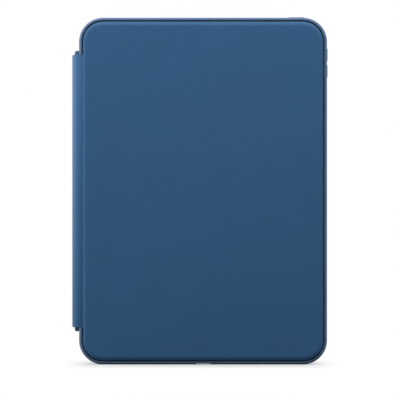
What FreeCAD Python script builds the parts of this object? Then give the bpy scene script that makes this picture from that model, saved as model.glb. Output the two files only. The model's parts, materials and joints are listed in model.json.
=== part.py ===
import FreeCAD, Part
import math
import os

import Sketcher

# A closed keyboard case for an 11 inch tablet, standing on its short bottom edge.
# X runs to the right, Y to the back and Z up. "Depth" is measured from the middle
# of the case towards the front, so a depth of d lies at y = -d.

Vector = FreeCAD.Vector

# Driving sizes in millimetres
SIZES = {
    # Tablet that the case is made for
    "tablet_width": 177.5,
    "tablet_height": 249.7,
    "tablet_depth": 5.3,
    "tablet_corner": 15.3,
    # Bumper frame round the tablet
    "tablet_play": 0.1,
    "bay_slack": 0.2,
    "bumper_wall": 2.3,
    "end_wall": 2.5,
    "lip_thickness": 1.0,
    "lip_overlap": 1.5,
    "rim_wall": 2.2,
    "rim_height": 5.2,
    "rim_round": 1.6,
    "rim_inner_round": 0.55,
    "rim_flat": 0.05,
    "back_round": 2.5,
    "flange_width": 4.6,
    # Back of the shell
    "panel_play": 0.1,
    "web_thickness": 1.0,
    "stand_recess": 2.2,
    "lining_thickness": 0.4,
    "lining_play": 0.2,
    "camera_side": 36.0,
    "camera_corner": 10.0,
    "camera_trim": 1.4,
    "camera_right_inset": 7.0,
    "camera_top_inset": 8.5,
    "connector_length": 22.0,
    "connector_width": 6.0,
    "connector_inset": 11.0,
    "contact_pitch": 4.0,
    "contact_radius": 1.0,
    "contact_proud": 0.15,
    # Openings in the bottom and top edges
    "port_width": 10.6,
    "port_height": 4.8,
    "port_corner": 1.6,
    "notch_depth": 0.7,
    "notch_corner": 0.5,
    "speaker_width": 2.4,
    "speaker_corner": 1.1,
    "speaker_start": 34.0,
    "speaker_length": 30.0,
    # Push buttons
    "button_width": 3.0,
    "button_corner": 1.3,
    "button_proud": 0.5,
    "button_play": 0.2,
    "button_travel": 0.4,
    "button_spare": 0.05,
    "button_flange": 0.8,
    "button_flange_thickness": 0.7,
    "button_round": 0.25,
    "power_length": 11.1,
    "power_right_inset": 16.85,
    "volume_length": 9.0,
    "volume_top_inset": 22.8,
    "volume_gap": 2.9,
    # Side flap for the stylus
    "flap_length": 161.5,
    "flap_button_gap": 5.5,
    "flap_slant": 1.3,
    "flap_play": 0.45,
    "flap_end_round": 0.25,
    "flap_heel": 0.6,
    "flap_drop": 0.3,
    "flap_swing_room": 0.6,
    "flap_magnet_length": 12.0,
    "flap_magnet_depth": 4.0,
    "flap_magnet_thickness": 0.9,
    # Spine and its two folds
    "soft_gap": 0.3,
    "fold_radius": 2.2,
    "spine_thickness": 1.1,
    "spine_skin": 0.5,
    "spine_length": 200.4,
    "rail_extra": 3.0,
    "rail_gap": 0.3,
    "rail_corner": 1.5,
    "rail_round": 0.8,
    "rail_magnet_length": 22.0,
    "rail_magnet_depth": 4.0,
    "rail_magnet_thickness": 1.6,
    "strip_inset": 0.4,
    "rear_inset": 0.2,
    # Lid with the keyboard
    "lid_gap": 0.75,
    "lid_clear": 0.3,
    "lid_wall": 1.5,
    "lid_face": 0.9,
    "lid_round": 2.0,
    "stiffener_thickness": 0.6,
    "inner_play": 0.15,
    "membrane_thickness": 0.3,
    "film_thickness": 0.3,
    "dome_height": 1.1,
    "dome_foot": 3.0,
    "dome_top": 1.6,
    "plunger_length": 0.2,
    "plunger_radius": 2.0,
    "key_flange_thickness": 0.4,
    "key_flange": 0.7,
    "key_play": 0.3,
    "rest_gap": 0.1,
    "deck_thickness": 1.0,
    "border_height": 1.2,
    "border_width": 4.0,
    "border_corner": 8.0,
    "border_round": 0.6,
    "key_proud": 0.8,
    "key_pitch": 16.3,
    "key_gap": 1.9,
    "key_corner": 1.2,
    "key_round": 0.35,
    "function_pitch": 9.6,
    "keys_inset": 15.0,
    "keys_end_inset": 6.0,
    "trackpad_length": 100.0,
    "trackpad_corner": 3.0,
    "trackpad_gap": 5.9,
    "trackpad_end_inset": 10.7,
    "trackpad_flange_thickness": 0.5,
    "trackpad_travel": 0.25,
    "switch_side": 5.0,
    "board_length": 44.0,
    "board_width": 30.0,
    "board_thickness": 1.0,
    "board_end_inset": 16.0,
    "board_gap": 13.9,
    "chip_side": 9.0,
    "chip_height": 0.9,
    "lid_magnet_length": 14.0,
    "lid_magnet_width": 3.0,
    "lid_magnet_edge": 6.0,
    # Kickstand
    "stand_hinge_offset": 8.0,
    "stand_margin": 2.6,
    "stand_end_margin": 5.0,
    "stand_thickness": 1.7,
    "stand_corner": 6.0,
    "stand_play": 0.4,
    "stand_swing_room": 1.6,
    "stand_edge_gap": 1.1,
    "stand_round": 0.4,
    "notch_radius": 9.0,
    "finger_depth": 5.0,
    "stand_pin_radius": 0.45,
    "pin_running_gap": 0.05,
    "pin_seat_gap": 0.02,
    "knuckle_length": 10.4,
    "lug_length": 5.0,
    "knuckle_gap": 0.3,
    "hinge_spread": 70.0,
    "bracket_reach": 14.0,
    "screw_radius": 0.8,
    "screw_head_radius": 1.5,
    "screw_head_depth": 0.8,
    "screw_bite": 0.7,
    "screw_spread": 6.5,
    "screw_inset": 6.0,
}

# Keys in the function row, and rows of letter keys
FUNCTION_COUNT = 14
ROW_COUNT = 5

# Places worked out from the driving sizes: half sizes, levels of depth and axes
PLACES = {
    "bay_half_width": "Sizes.tablet_width / 2 + Sizes.tablet_play",
    "bay_half_height": "Sizes.tablet_height / 2 + Sizes.tablet_play",
    "bay_corner": "Sizes.tablet_corner + Sizes.tablet_play",
    "case_half_width": "bay_half_width + Sizes.bumper_wall",
    "case_half_height": "bay_half_height + Sizes.end_wall",
    "case_corner": "bay_corner + Sizes.bumper_wall",
    "middle": "case_half_height",
    "case_top": "2 * case_half_height",
    "lid_margin": "Sizes.rim_wall + Sizes.lid_gap",
    "lid_half_width": "case_half_width - lid_margin",
    "lid_half_height": "case_half_height - lid_margin",
    "lid_corner": "case_corner - lid_margin",
    "panel_half_width": "case_half_width - Sizes.flange_width",
    "panel_half_height": "case_half_height - Sizes.flange_width",
    "panel_corner": "case_corner - Sizes.flange_width",
    # Levels of depth, from the back to the front
    "lid_depth": "Sizes.border_height + Sizes.deck_thickness + Sizes.rest_gap"
    " + Sizes.key_flange_thickness + Sizes.plunger_length + Sizes.rest_gap + Sizes.dome_height"
    " + Sizes.film_thickness + Sizes.membrane_thickness + Sizes.stiffener_thickness + Sizes.lid_face",
    "shell_depth": "Sizes.stand_recess + Sizes.web_thickness + Sizes.lining_thickness"
    " + Sizes.tablet_depth + Sizes.bay_slack + Sizes.lip_thickness",
    "back_level": "-(shell_depth + Sizes.lid_clear + lid_depth) / 2",
    "recess_level": "back_level + Sizes.stand_recess",
    "web_level": "recess_level + Sizes.web_thickness",
    "floor_level": "web_level + Sizes.lining_thickness",
    "lip_level": "floor_level + Sizes.tablet_depth + Sizes.bay_slack",
    "lip_top_level": "lip_level + Sizes.lip_thickness",
    "rim_level": "lip_top_level + Sizes.rim_height",
    "rim_inner_edge": "min(Sizes.rim_inner_round; Sizes.rim_wall - Sizes.rim_round - Sizes.rim_flat)",
    "lid_level": "lip_top_level + Sizes.lid_clear",
    "deck_level": "lid_level + Sizes.border_height",
    "tray_level": "deck_level + Sizes.deck_thickness",
    "key_flange_level": "tray_level + Sizes.rest_gap",
    "plunger_level": "key_flange_level + Sizes.key_flange_thickness",
    "dome_level": "plunger_level + Sizes.plunger_length + Sizes.rest_gap",
    "film_level": "dome_level + Sizes.dome_height",
    "membrane_level": "film_level + Sizes.film_thickness",
    "stiffener_level": "membrane_level + Sizes.membrane_thickness",
    "face_inner_level": "stiffener_level + Sizes.stiffener_thickness",
    "face_level": "face_inner_level + Sizes.lid_face",
    "edge_level": "(floor_level + lip_level) / 2",
    # Spine: both fold axes run upright along the left edge
    "spine_reach": "2 * Sizes.fold_radius + Sizes.soft_gap",
    "spine_left": "-(case_half_width + spine_reach)",
    "spine_inner": "spine_left + Sizes.spine_thickness",
    "fold_across": "spine_left + Sizes.fold_radius",
    "fold_room": "Sizes.fold_radius + Sizes.soft_gap",
    "front_fold_level": "face_level - Sizes.strip_inset - Sizes.fold_radius",
    "rear_fold_level": "back_level + Sizes.rear_inset + Sizes.fold_radius",
    "strip_level": "face_level - Sizes.strip_inset - Sizes.spine_thickness",
    "rear_strip_level": "back_level + Sizes.rear_inset",
    "spine_low": "middle - Sizes.spine_length / 2",
    "spine_high": "middle + Sizes.spine_length / 2",
    "rail_left": "spine_inner + Sizes.rail_gap",
    "rail_low": "spine_low - Sizes.rail_extra",
    "rail_high": "spine_high + Sizes.rail_extra",
    "rail_back_level": "rear_fold_level + fold_room",
    "rail_front_level": "front_fold_level - fold_room",
    "rail_middle_level": "(rail_back_level + rail_front_level) / 2",
    # Buttons
    "power_across": "case_half_width - Sizes.power_right_inset - Sizes.power_length / 2",
    "volume_up_height": "case_top - Sizes.volume_top_inset - Sizes.volume_length / 2",
    "volume_down_height": "volume_up_height - Sizes.volume_length - Sizes.volume_gap",
    "button_seat": "Sizes.button_travel + Sizes.button_spare",
    "button_recess": "button_seat + Sizes.button_flange_thickness + Sizes.rest_gap",
    # Side flap: it hangs below the volume buttons and its axis runs upright along the right edge
    "flap_half": "Sizes.rim_wall / 2",
    "flap_across": "case_half_width - flap_half",
    "flap_level": "web_level - Sizes.flap_drop",
    "flap_high": "volume_down_height - Sizes.volume_length / 2 - Sizes.flap_button_gap",
    "flap_low": "flap_high - Sizes.flap_length",
    "flap_square_low": "flap_low + Sizes.flap_slant",
    "flap_slant_level": "flap_level + Sizes.rim_wall",
    "flap_heel_height": "flap_high - Sizes.flap_heel",
    "flap_reach": "flap_half + Sizes.flap_swing_room",
    "flap_inner": "case_half_width - Sizes.rim_wall",
    "flap_magnet_level": "(flap_level + rim_level) / 2",
    # Camera window
    "camera_across": "case_half_width - Sizes.camera_right_inset - Sizes.camera_side / 2",
    "camera_height": "case_top - Sizes.camera_top_inset - Sizes.camera_side / 2",
    # Tablet contacts
    "connector_across": "Sizes.connector_inset - bay_half_width",
    # Keyboard: its left end points up and its rear row lies beside the spine
    "row_room": "2 * (lid_half_height - Sizes.keys_end_inset)",
    "row_units": "floor(row_room / Sizes.key_pitch - 0.5) + 0.5",
    "row_length": "Sizes.key_pitch * row_units",
    "keys_top": "middle + row_length / 2",
    "keys_rear": "Sizes.keys_inset - lid_half_width",
    "rows_rear": "keys_rear + Sizes.function_pitch",
    "keys_front": f"rows_rear + {ROW_COUNT} * Sizes.key_pitch",
    "key_level": "deck_level - Sizes.key_proud",
    "trackpad_rear": "keys_front + Sizes.trackpad_gap",
    "trackpad_front": "lid_half_width - Sizes.trackpad_end_inset",
    "trackpad_across": "(trackpad_rear + trackpad_front) / 2",
    "trackpad_half_width": "(trackpad_front - trackpad_rear) / 2",
    "trackpad_flange_level": "tray_level + Sizes.rest_gap",
    "trackpad_under_level": "trackpad_flange_level + Sizes.trackpad_flange_thickness",
    "board_low": "middle - lid_half_height + Sizes.board_end_inset",
    "board_high": "board_low + Sizes.board_length",
    "board_rear": "keys_front + Sizes.board_gap",
    "board_front": "board_rear + Sizes.board_width",
    "board_level": "membrane_level - Sizes.board_thickness",
    # Kickstand
    "stand_across": "Sizes.stand_hinge_offset",
    "stand_left": "Sizes.stand_margin - panel_half_width",
    "stand_right": "stand_across - Sizes.stand_edge_gap",
    "stand_half_height": "panel_half_height - Sizes.stand_end_margin",
    "stand_radius": "Sizes.stand_thickness / 2",
    "stand_axis_level": "back_level + stand_radius",
    "hinge_half_length": "Sizes.knuckle_length / 2 + Sizes.knuckle_gap + Sizes.lug_length",
    "screw_across": "stand_across + Sizes.stand_swing_room + Sizes.screw_inset",
    # Origin: the middle of the whole box, with the spine on one side and the buttons on the other
    "case_centre": "(spine_reach - Sizes.button_proud) / 2",
}

# Widths of the wider keys at the two ends of each row, in key pitches. Keys of one pitch
# fill the row between them, as many as the lid has room for.
ROW_ENDS = {
    "number_keys": ([], [1.5]),
    "top_letter_keys": ([1.5], []),
    "home_letter_keys": ([1.75], [1.75]),
    "lower_letter_keys": ([2.25], [2.25]),
}
# Keys on each side of the space bar, which fills its row
SPACE_SIDES = ([1, 1, 1, 1.25], [1.25, 1, 1, 1, 1])

CONTACT_STEPS = (-1, 0, 1)
HINGE_SIDES = {"upper": "+", "lower": "-"}

document = FreeCAD.newDocument("TabletKeyboardCase")
pieces = []


# The two sheets
def fill_sheet(name, cells, mark=""):
    sheet = document.addObject("Spreadsheet::Sheet", name)
    for row, (alias, content) in enumerate(cells.items(), start=1):
        sheet.set(f"A{row}", alias)
        sheet.set(f"B{row}", f"{mark}{content}")
        sheet.setAlias(f"B{row}", alias)
    document.recompute()
    return sheet


sizes = fill_sheet("Sizes", SIZES)
places = fill_sheet("Places", PLACES, mark="=")


def value(expression):
    return float(places.evalExpression(expression))


def bind(item, target, expression):
    item.setExpression(target, expression)


# Objects that become sub-parts
def keep(item, name):
    item.Label = name
    bind(item, "Placement.Base.x", "Places.case_centre")
    pieces.append(item)
    return item


def new_body(name):
    return keep(document.addObject("PartDesign::Body", name), name)


def helper_body(name):
    return document.addObject("PartDesign::Body", name)


def group(name, members):
    compound = document.addObject("Part::Compound", name)
    compound.Links = members
    return keep(compound, name)


# Sketched plates. The front plane looks from the back to the front, the top plane
# upwards and the side plane to the right; sides are left, right, low and high.
PLANES = {"front": "XZ_Plane", "top": "XY_Plane", "side": "YZ_Plane"}


def rounded_sketch(body, name, plane, start, sides, corner):
    sketch = body.newObject("Sketcher::SketchObject", name + "_outline")
    role = PLANES[plane]
    support = next(f for f in body.Origin.OriginFeatures if f.Role == role)
    sketch.AttachmentSupport = [(support, "")]
    sketch.MapMode = "FlatFace"
    bind(sketch, "AttachmentOffset.Base.z", start)
    left, right, low, high = (value(side) for side in sides)
    radius = value(corner)
    centres = [
        (right - radius, high - radius),
        (left + radius, high - radius),
        (left + radius, low + radius),
        (right - radius, low + radius),
    ]
    arcs = []
    for quarter, (across, up) in enumerate(centres):
        circle = Part.Circle(Vector(across, up, 0), Vector(0, 0, 1), radius)
        begin = quarter * math.pi / 2
        arcs.append(sketch.addGeometry(Part.ArcOfCircle(circle, begin, begin + math.pi / 2), False))
    lines = []
    for quarter, arc in enumerate(arcs):
        begin = sketch.Geometry[arc].EndPoint
        end = sketch.Geometry[arcs[(quarter + 1) % 4]].StartPoint
        lines.append(sketch.addGeometry(Part.LineSegment(begin, end), False))
    for quarter, (arc, line) in enumerate(zip(arcs, lines)):
        following = arcs[(quarter + 1) % 4]
        sketch.addConstraint(Sketcher.Constraint("Tangent", arc, 2, line, 1))
        sketch.addConstraint(Sketcher.Constraint("Tangent", line, 2, following, 1))
        direction = "Vertical" if quarter % 2 else "Horizontal"
        sketch.addConstraint(Sketcher.Constraint(direction, line))
    for arc in arcs[1:]:
        sketch.addConstraint(Sketcher.Constraint("Equal", arcs[0], arc))
    measures = [
        (Sketcher.Constraint("DistanceX", -1, 1, lines[1], 1, left), sides[0]),
        (Sketcher.Constraint("DistanceX", -1, 1, lines[3], 1, right), sides[1]),
        (Sketcher.Constraint("DistanceY", -1, 1, lines[2], 1, low), sides[2]),
        (Sketcher.Constraint("DistanceY", -1, 1, lines[0], 1, high), sides[3]),
        (Sketcher.Constraint("Radius", arcs[0], radius), corner),
    ]
    for constraint, expression in measures:
        number = sketch.addConstraint(constraint)
        bind(sketch, f"Constraints[{number}]", expression)
    return sketch


def add_plate(body, name, plane, start, end, sides, corner):
    pad = body.newObject("PartDesign::Pad", name)
    pad.Profile = rounded_sketch(body, name, plane, start, sides, corner)
    bind(pad, "Length", f"({end}) - ({start})")
    return pad


def cut_plate(body, name, plane, start, end, sides, corner):
    pocket = body.newObject("PartDesign::Pocket", name)
    pocket.Profile = rounded_sketch(body, name, plane, start, sides, corner)
    pocket.Reversed = True
    bind(pocket, "Length", f"({end}) - ({start})")
    return pocket


def wedge_sketch(body, name, start, corners):
    sketch = body.newObject("Sketcher::SketchObject", name + "_outline")
    support = next(f for f in body.Origin.OriginFeatures if f.Role == PLANES["front"])
    sketch.AttachmentSupport = [(support, "")]
    sketch.MapMode = "FlatFace"
    bind(sketch, "AttachmentOffset.Base.z", start)
    points = [Vector(value(across), value(up), 0) for across, up in corners]
    lines = []
    for number, point in enumerate(points):
        following = points[(number + 1) % len(points)]
        lines.append(sketch.addGeometry(Part.LineSegment(point, following), False))
    for number, line in enumerate(lines):
        following = lines[(number + 1) % len(lines)]
        sketch.addConstraint(Sketcher.Constraint("Coincident", line, 2, following, 1))
    for line, point, (across, up) in zip(lines, points, corners):
        place = sketch.addConstraint(Sketcher.Constraint("DistanceX", -1, 1, line, 1, point.x))
        bind(sketch, f"Constraints[{place}]", across)
        place = sketch.addConstraint(Sketcher.Constraint("DistanceY", -1, 1, line, 1, point.y))
        bind(sketch, f"Constraints[{place}]", up)
    return sketch


def add_wedge(body, name, start, end, corners):
    pad = body.newObject("PartDesign::Pad", name)
    pad.Profile = wedge_sketch(body, name, start, corners)
    bind(pad, "Length", f"({end}) - ({start})")
    return pad


def cut_wedge(body, name, start, end, corners):
    pocket = body.newObject("PartDesign::Pocket", name)
    pocket.Profile = wedge_sketch(body, name, start, corners)
    pocket.Reversed = True
    bind(pocket, "Length", f"({end}) - ({start})")
    return pocket


def around(across, height, half_width, half_height):
    return (
        f"({across}) - ({half_width})",
        f"({across}) + ({half_width})",
        f"({height}) - ({half_height})",
        f"({height}) + ({half_height})",
    )


def centred(half_width, half_height):
    return around("0", "Places.middle", half_width, half_height)


# Blocks and posts: each range is a pair of ends
def set_block(item, across, depth, up):
    bind(item, "Length", f"({across[1]}) - ({across[0]})")
    bind(item, "Width", f"({depth[1]}) - ({depth[0]})")
    bind(item, "Height", f"({up[1]}) - ({up[0]})")
    bind(item, "Placement.Base.x", across[0])
    bind(item, "Placement.Base.y", f"-({depth[1]})")
    bind(item, "Placement.Base.z", up[0])
    return item


def add_block(body, name, across, depth, up):
    return set_block(body.newObject("PartDesign::AdditiveBox", name), across, depth, up)


def cut_block(body, name, across, depth, up):
    return set_block(body.newObject("PartDesign::SubtractiveBox", name), across, depth, up)


def loose_block(name, across, depth, up):
    return set_block(document.addObject("Part::Box", name), across, depth, up)


TURNS = {
    "up": FreeCAD.Rotation(),
    "front": FreeCAD.Rotation(Vector(1, 0, 0), 90),
    "right": FreeCAD.Rotation(Vector(0, 1, 0), 90),
}


def set_post(item, direction, radius, length, across, depth, up):
    item.Placement = FreeCAD.Placement(Vector(), TURNS[direction])
    bind(item, "Radius", radius)
    bind(item, "Height", length)
    bind(item, "Placement.Base.x", across)
    bind(item, "Placement.Base.y", f"-({depth})")
    bind(item, "Placement.Base.z", up)
    return item


def add_post(body, name, *measures):
    return set_post(body.newObject("PartDesign::AdditiveCylinder", name), *measures)


def cut_post(body, name, *measures):
    return set_post(body.newObject("PartDesign::SubtractiveCylinder", name), *measures)


def loose_post(name, *measures):
    return set_post(document.addObject("Part::Cylinder", name), *measures)


# Rounded edges: the edges are picked by where all their points lie
def round_edges(body, name, radius, chosen):
    document.recompute()
    base = body.Tip
    edges = []
    for number, edge in enumerate(base.Shape.Edges, start=1):
        points = edge.discretize(3)
        if all(chosen(point) for point in points):
            edges.append(f"Edge{number}")
    if not edges:
        raise RuntimeError(f"{name} finds no edge")
    fillet = body.newObject("PartDesign::Fillet", name)
    fillet.Base = (base, edges)
    bind(fillet, "Radius", radius)
    return fillet


CLOSE = 0.001


def near(first, second):
    return abs(first - second) < CLOSE


def at_depth(expression):
    level = value(expression)
    return lambda point: near(-point.y, level)


def within(sides):
    left, right, low, high = (value(side) for side in sides)
    return lambda point: (
        left - CLOSE < point.x < right + CLOSE and low - CLOSE < point.z < high + CLOSE
    )


# Bumper frame
def make_bumper_frame():
    body = new_body("bumper_frame")
    outside = centred("Places.case_half_width", "Places.case_half_height")
    add_plate(
        body, "frame_block", "front", "Places.back_level", "Places.rim_level",
        outside, "Places.case_corner",
    )
    round_edges(body, "frame_back_round", "Sizes.back_round", at_depth("Places.back_level"))
    round_edges(body, "frame_rim_round", "Sizes.rim_round", at_depth("Places.rim_level"))
    opening = centred(
        "Places.panel_half_width + Sizes.panel_play", "Places.panel_half_height + Sizes.panel_play"
    )
    cut_plate(
        body, "panel_opening", "front", "Places.back_level", "Places.web_level", opening,
        "Places.panel_corner + Sizes.panel_play",
    )
    bay = centred("Places.bay_half_width", "Places.bay_half_height")
    cut_plate(body, "tablet_bay", "front", "Places.web_level", "Places.lip_level", bay, "Places.bay_corner")
    window = centred(
        "Sizes.tablet_width / 2 - Sizes.lip_overlap", "Sizes.tablet_height / 2 - Sizes.lip_overlap"
    )
    cut_plate(
        body, "screen_window", "front", "Places.lip_level", "Places.lip_top_level", window,
        "Sizes.tablet_corner - Sizes.lip_overlap",
    )
    pocket = centred("Places.lid_half_width + Sizes.lid_gap", "Places.lid_half_height + Sizes.lid_gap")
    cut_plate(
        body, "lid_pocket", "front", "Places.lip_top_level", "Places.rim_level", pocket,
        "Places.lid_corner + Sizes.lid_gap",
    )
    at_rim = at_depth("Places.rim_level")
    in_pocket = within(pocket)
    round_edges(
        body, "frame_rim_inner_round", "Places.rim_inner_edge",
        lambda point: at_rim(point) and in_pocket(point),
    )
    cut_flap_side(body)
    cut_block(
        body, "front_strip_seat",
        ("Places.spine_left", "-(Places.lid_half_width)"),
        ("Places.strip_level - Sizes.soft_gap", "Places.face_level"),
        ("Places.spine_low - Sizes.soft_gap", "Places.spine_high + Sizes.soft_gap"),
    )
    cut_block(
        body, "rear_strip_seat",
        ("Places.spine_left", "-(Places.panel_half_width + Sizes.panel_play)"),
        ("Places.back_level - Sizes.soft_gap", "Places.rear_strip_level + Sizes.spine_thickness"),
        ("Places.spine_low - Sizes.soft_gap", "Places.spine_high + Sizes.soft_gap"),
    )
    cut_power_window(body)
    cut_volume_window(body, "volume_up", "Places.volume_up_height")
    cut_volume_window(body, "volume_down", "Places.volume_down_height")
    cut_edge_openings(body)


def cut_flap_side(body):
    low = "Places.flap_square_low - Sizes.flap_play"
    up = (low, "Places.flap_high + Sizes.flap_play")
    beyond = "Places.case_half_width + Sizes.rim_wall"
    front = "Places.rim_level + Sizes.rim_wall"
    cut_block(body, "flap_window", ("Places.bay_half_width", beyond), ("Places.flap_level", front), up)
    heel = (low, "Places.flap_heel_height + Sizes.flap_play")
    cut_block(
        body, "flap_swing_cut", ("Places.flap_across", beyond),
        ("Places.flap_level - Places.flap_reach", "Places.flap_level"), heel,
    )
    cut_post(
        body, "flap_seat", "up", "Places.flap_half + Sizes.soft_gap",
        f"({heel[1]}) - ({heel[0]})", "Places.flap_across", "Places.flap_level", heel[0],
    )
    slanted = [("Places.flap_inner", low), (beyond, f"{low} - 2 * Sizes.flap_slant"), (beyond, low)]
    cut_wedge(body, "flap_slant_cut", "Places.flap_slant_level - Sizes.soft_gap", front, slanted)


def power_sides(extra):
    half_length = f"Sizes.power_length / 2 + {extra}"
    half_width = f"Sizes.button_width / 2 + {extra}"
    return around("Places.power_across", "-(Places.edge_level)", half_length, half_width)


def volume_sides(height, extra):
    half_length = f"Sizes.volume_length / 2 + {extra}"
    half_width = f"Sizes.button_width / 2 + {extra}"
    return around("-(Places.edge_level)", height, half_width, half_length)


WINDOW_EXTRA = "Sizes.button_play"
FLANGE_EXTRA = "Sizes.button_flange"
RECESS_EXTRA = "(Sizes.button_flange + Sizes.button_play)"


def cut_power_window(body):
    bay_top = "Places.middle + Places.bay_half_height"
    cut_plate(
        body, "power_window", "top", bay_top, "Places.case_top + Sizes.button_proud",
        power_sides(WINDOW_EXTRA), f"Sizes.button_corner + {WINDOW_EXTRA}",
    )
    cut_plate(
        body, "power_recess", "top", bay_top, f"{bay_top} + Places.button_recess",
        power_sides(RECESS_EXTRA), f"Sizes.button_corner + {RECESS_EXTRA}",
    )


def cut_volume_window(body, name, height):
    cut_plate(
        body, name + "_window", "side", "Places.bay_half_width",
        "Places.case_half_width + Sizes.button_proud",
        volume_sides(height, WINDOW_EXTRA), f"Sizes.button_corner + {WINDOW_EXTRA}",
    )
    cut_plate(
        body, name + "_recess", "side", "Places.bay_half_width",
        "Places.bay_half_width + Places.button_recess",
        volume_sides(height, RECESS_EXTRA), f"Sizes.button_corner + {RECESS_EXTRA}",
    )


def cut_edge_openings(body):
    wall_top = "Sizes.end_wall"
    notch = ("-Sizes.port_width / 2", "Sizes.port_width / 2", "-Sizes.end_wall", "Sizes.notch_depth")
    cut_plate(
        body, "port_notch", "front", "Places.back_level", "Places.rim_level", notch, "Sizes.notch_corner"
    )
    port = around("0", "-(Places.edge_level)", "Sizes.port_width / 2", "Sizes.port_height / 2")
    cut_plate(body, "port_window", "top", "0", wall_top, port, "Sizes.port_corner")
    middle_of_slot = "Sizes.speaker_start + Sizes.speaker_length / 2"
    for side, sign in (("left", "-"), ("right", "")):
        slot = around(
            f"{sign}({middle_of_slot})", "-(Places.edge_level)",
            "Sizes.speaker_length / 2", "Sizes.speaker_width / 2",
        )
        cut_plate(body, f"lower_{side}_speaker", "top", "0", wall_top, slot, "Sizes.speaker_corner")
    slot = around(
        f"-({middle_of_slot})", "-(Places.edge_level)",
        "Sizes.speaker_length / 2", "Sizes.speaker_width / 2",
    )
    cut_plate(
        body, "upper_left_speaker", "top", "Places.case_top - Sizes.end_wall", "Places.case_top",
        slot, "Sizes.speaker_corner",
    )


# Back panel with its recess for the kickstand
def make_back_panel():
    body = new_body("back_panel")
    outside = centred("Places.panel_half_width", "Places.panel_half_height")
    add_plate(
        body, "panel_plate", "front", "Places.back_level", "Places.web_level",
        outside, "Places.panel_corner",
    )
    recess = (
        "Places.stand_left - Sizes.stand_play",
        "Places.stand_across + Sizes.stand_swing_room",
        "Places.middle - Places.stand_half_height - Sizes.stand_play",
        "Places.middle + Places.stand_half_height + Sizes.stand_play",
    )
    cut_plate(
        body, "stand_recess", "front", "Places.back_level", "Places.recess_level", recess,
        "Sizes.stand_corner + Sizes.stand_play",
    )
    for name, sign in HINGE_SIDES.items():
        cut_block(
            body, f"{name}_bracket_pocket",
            ("Places.stand_across", bracket_right()), ("Places.back_level", "Places.recess_level"),
            hinge_range(sign, "Places.hinge_half_length + Sizes.panel_play"),
        )
        for step in ("+", "-"):
            cut_post(
                body, f"{name}_screw_hole_{'high' if step == '+' else 'low'}", "front", "Sizes.screw_radius",
                "Sizes.screw_bite", "Places.screw_across", "Places.recess_level", screw_height(sign, step),
            )
    cut_camera(body, "Places.back_level", "Places.web_level", "Sizes.panel_play")


def cut_camera(body, start, end, extra):
    half = f"Sizes.camera_side / 2 + {extra}"
    sides = around("Places.camera_across", "Places.camera_height", half, half)
    cut_plate(body, body.Name + "_camera", "front", start, end, sides, f"Sizes.camera_corner + {extra}")


def make_bay_lining():
    body = new_body("bay_lining")
    outside = centred(
        "Places.bay_half_width - Sizes.lining_play", "Places.bay_half_height - Sizes.lining_play"
    )
    add_plate(
        body, "lining_sheet", "front", "Places.web_level", "Places.floor_level", outside,
        "Places.bay_corner - Sizes.lining_play",
    )
    cut_camera(body, "Places.web_level", "Places.floor_level", "Sizes.panel_play")
    cut_block(
        body, "connector_window",
        connector_range("Sizes.connector_width / 2 + Sizes.panel_play"),
        ("Places.web_level", "Places.floor_level"),
        around_middle("Sizes.connector_length / 2 + Sizes.panel_play"),
    )


def connector_range(half):
    return (f"Places.connector_across - ({half})", f"Places.connector_across + {half}")


def around_middle(half):
    return (f"Places.middle - ({half})", f"Places.middle + {half}")


def make_camera_ring():
    body = new_body("camera_ring")
    half = "Sizes.camera_side / 2"
    outside = around("Places.camera_across", "Places.camera_height", half, half)
    add_plate(
        body, "ring_block", "front", "Places.back_level", "Places.floor_level",
        outside, "Sizes.camera_corner",
    )
    inner_half = f"{half} - Sizes.camera_trim"
    inside = around("Places.camera_across", "Places.camera_height", inner_half, inner_half)
    cut_plate(
        body, "ring_hole", "front", "Places.back_level", "Places.floor_level", inside,
        "Sizes.camera_corner - Sizes.camera_trim",
    )


def make_tablet_connector():
    body = new_body("tablet_connector")
    add_block(
        body, "connector_plate", connector_range("Sizes.connector_width / 2"),
        ("Places.web_level", "Places.floor_level"), around_middle("Sizes.connector_length / 2"),
    )
    for number, step in enumerate(CONTACT_STEPS):
        add_post(
            body, f"tablet_pin_{number}", "front", "Sizes.contact_radius",
            "Sizes.lining_thickness + Sizes.contact_proud", "Places.connector_across", "Places.web_level",
            f"Places.middle + ({step}) * Sizes.contact_pitch",
        )


# Hinge rail with its magnets and pins
RAIL_MAGNET_PLACES = (-0.375, -0.14, 0.14, 0.375)


def magnet_height(share):
    middle = f"Places.middle + ({share}) * Sizes.spine_length"
    return (f"{middle} - Sizes.rail_magnet_length / 2", f"{middle} + Sizes.rail_magnet_length / 2")


def rail_magnet_ranges(share):
    half = "Sizes.rail_magnet_depth / 2"
    return (
        ("Places.rail_left", "Places.rail_left + Sizes.rail_magnet_thickness"),
        (f"Places.rail_middle_level - {half}", f"Places.rail_middle_level + {half}"),
        magnet_height(share),
    )


def make_hinge_rail():
    body = new_body("hinge_rail")
    add_block(
        body, "rail_bar", ("Places.rail_left", "-Places.case_half_width"),
        ("Places.rail_back_level", "Places.rail_front_level"), ("Places.rail_low", "Places.rail_high"),
    )
    left = value("Places.rail_left")
    ends = (value("Places.rail_low"), value("Places.rail_high"))

    def outer_corner(point):
        return near(point.x, left) and any(near(point.z, end) for end in ends)

    round_edges(body, "rail_end_round", "Sizes.rail_corner", outer_corner)
    front = value("Places.rail_front_level")
    case_side = value("-Places.case_half_width")

    def front_edge(point):
        free = not near(point.x, case_side) or any(near(point.z, end) for end in ends)
        return near(-point.y, front) and free

    round_edges(body, "rail_front_round", "Sizes.rail_round", front_edge)
    for number, share in enumerate(RAIL_MAGNET_PLACES):
        cut_block(body, f"rail_magnet_pocket_{number}", *rail_magnet_ranges(share))
    for number, step in enumerate(CONTACT_STEPS):
        cut_post(body, f"rail_pin_hole_{number}", "right", *pin_measures(step, "Places.rail_left", "0"))


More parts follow.
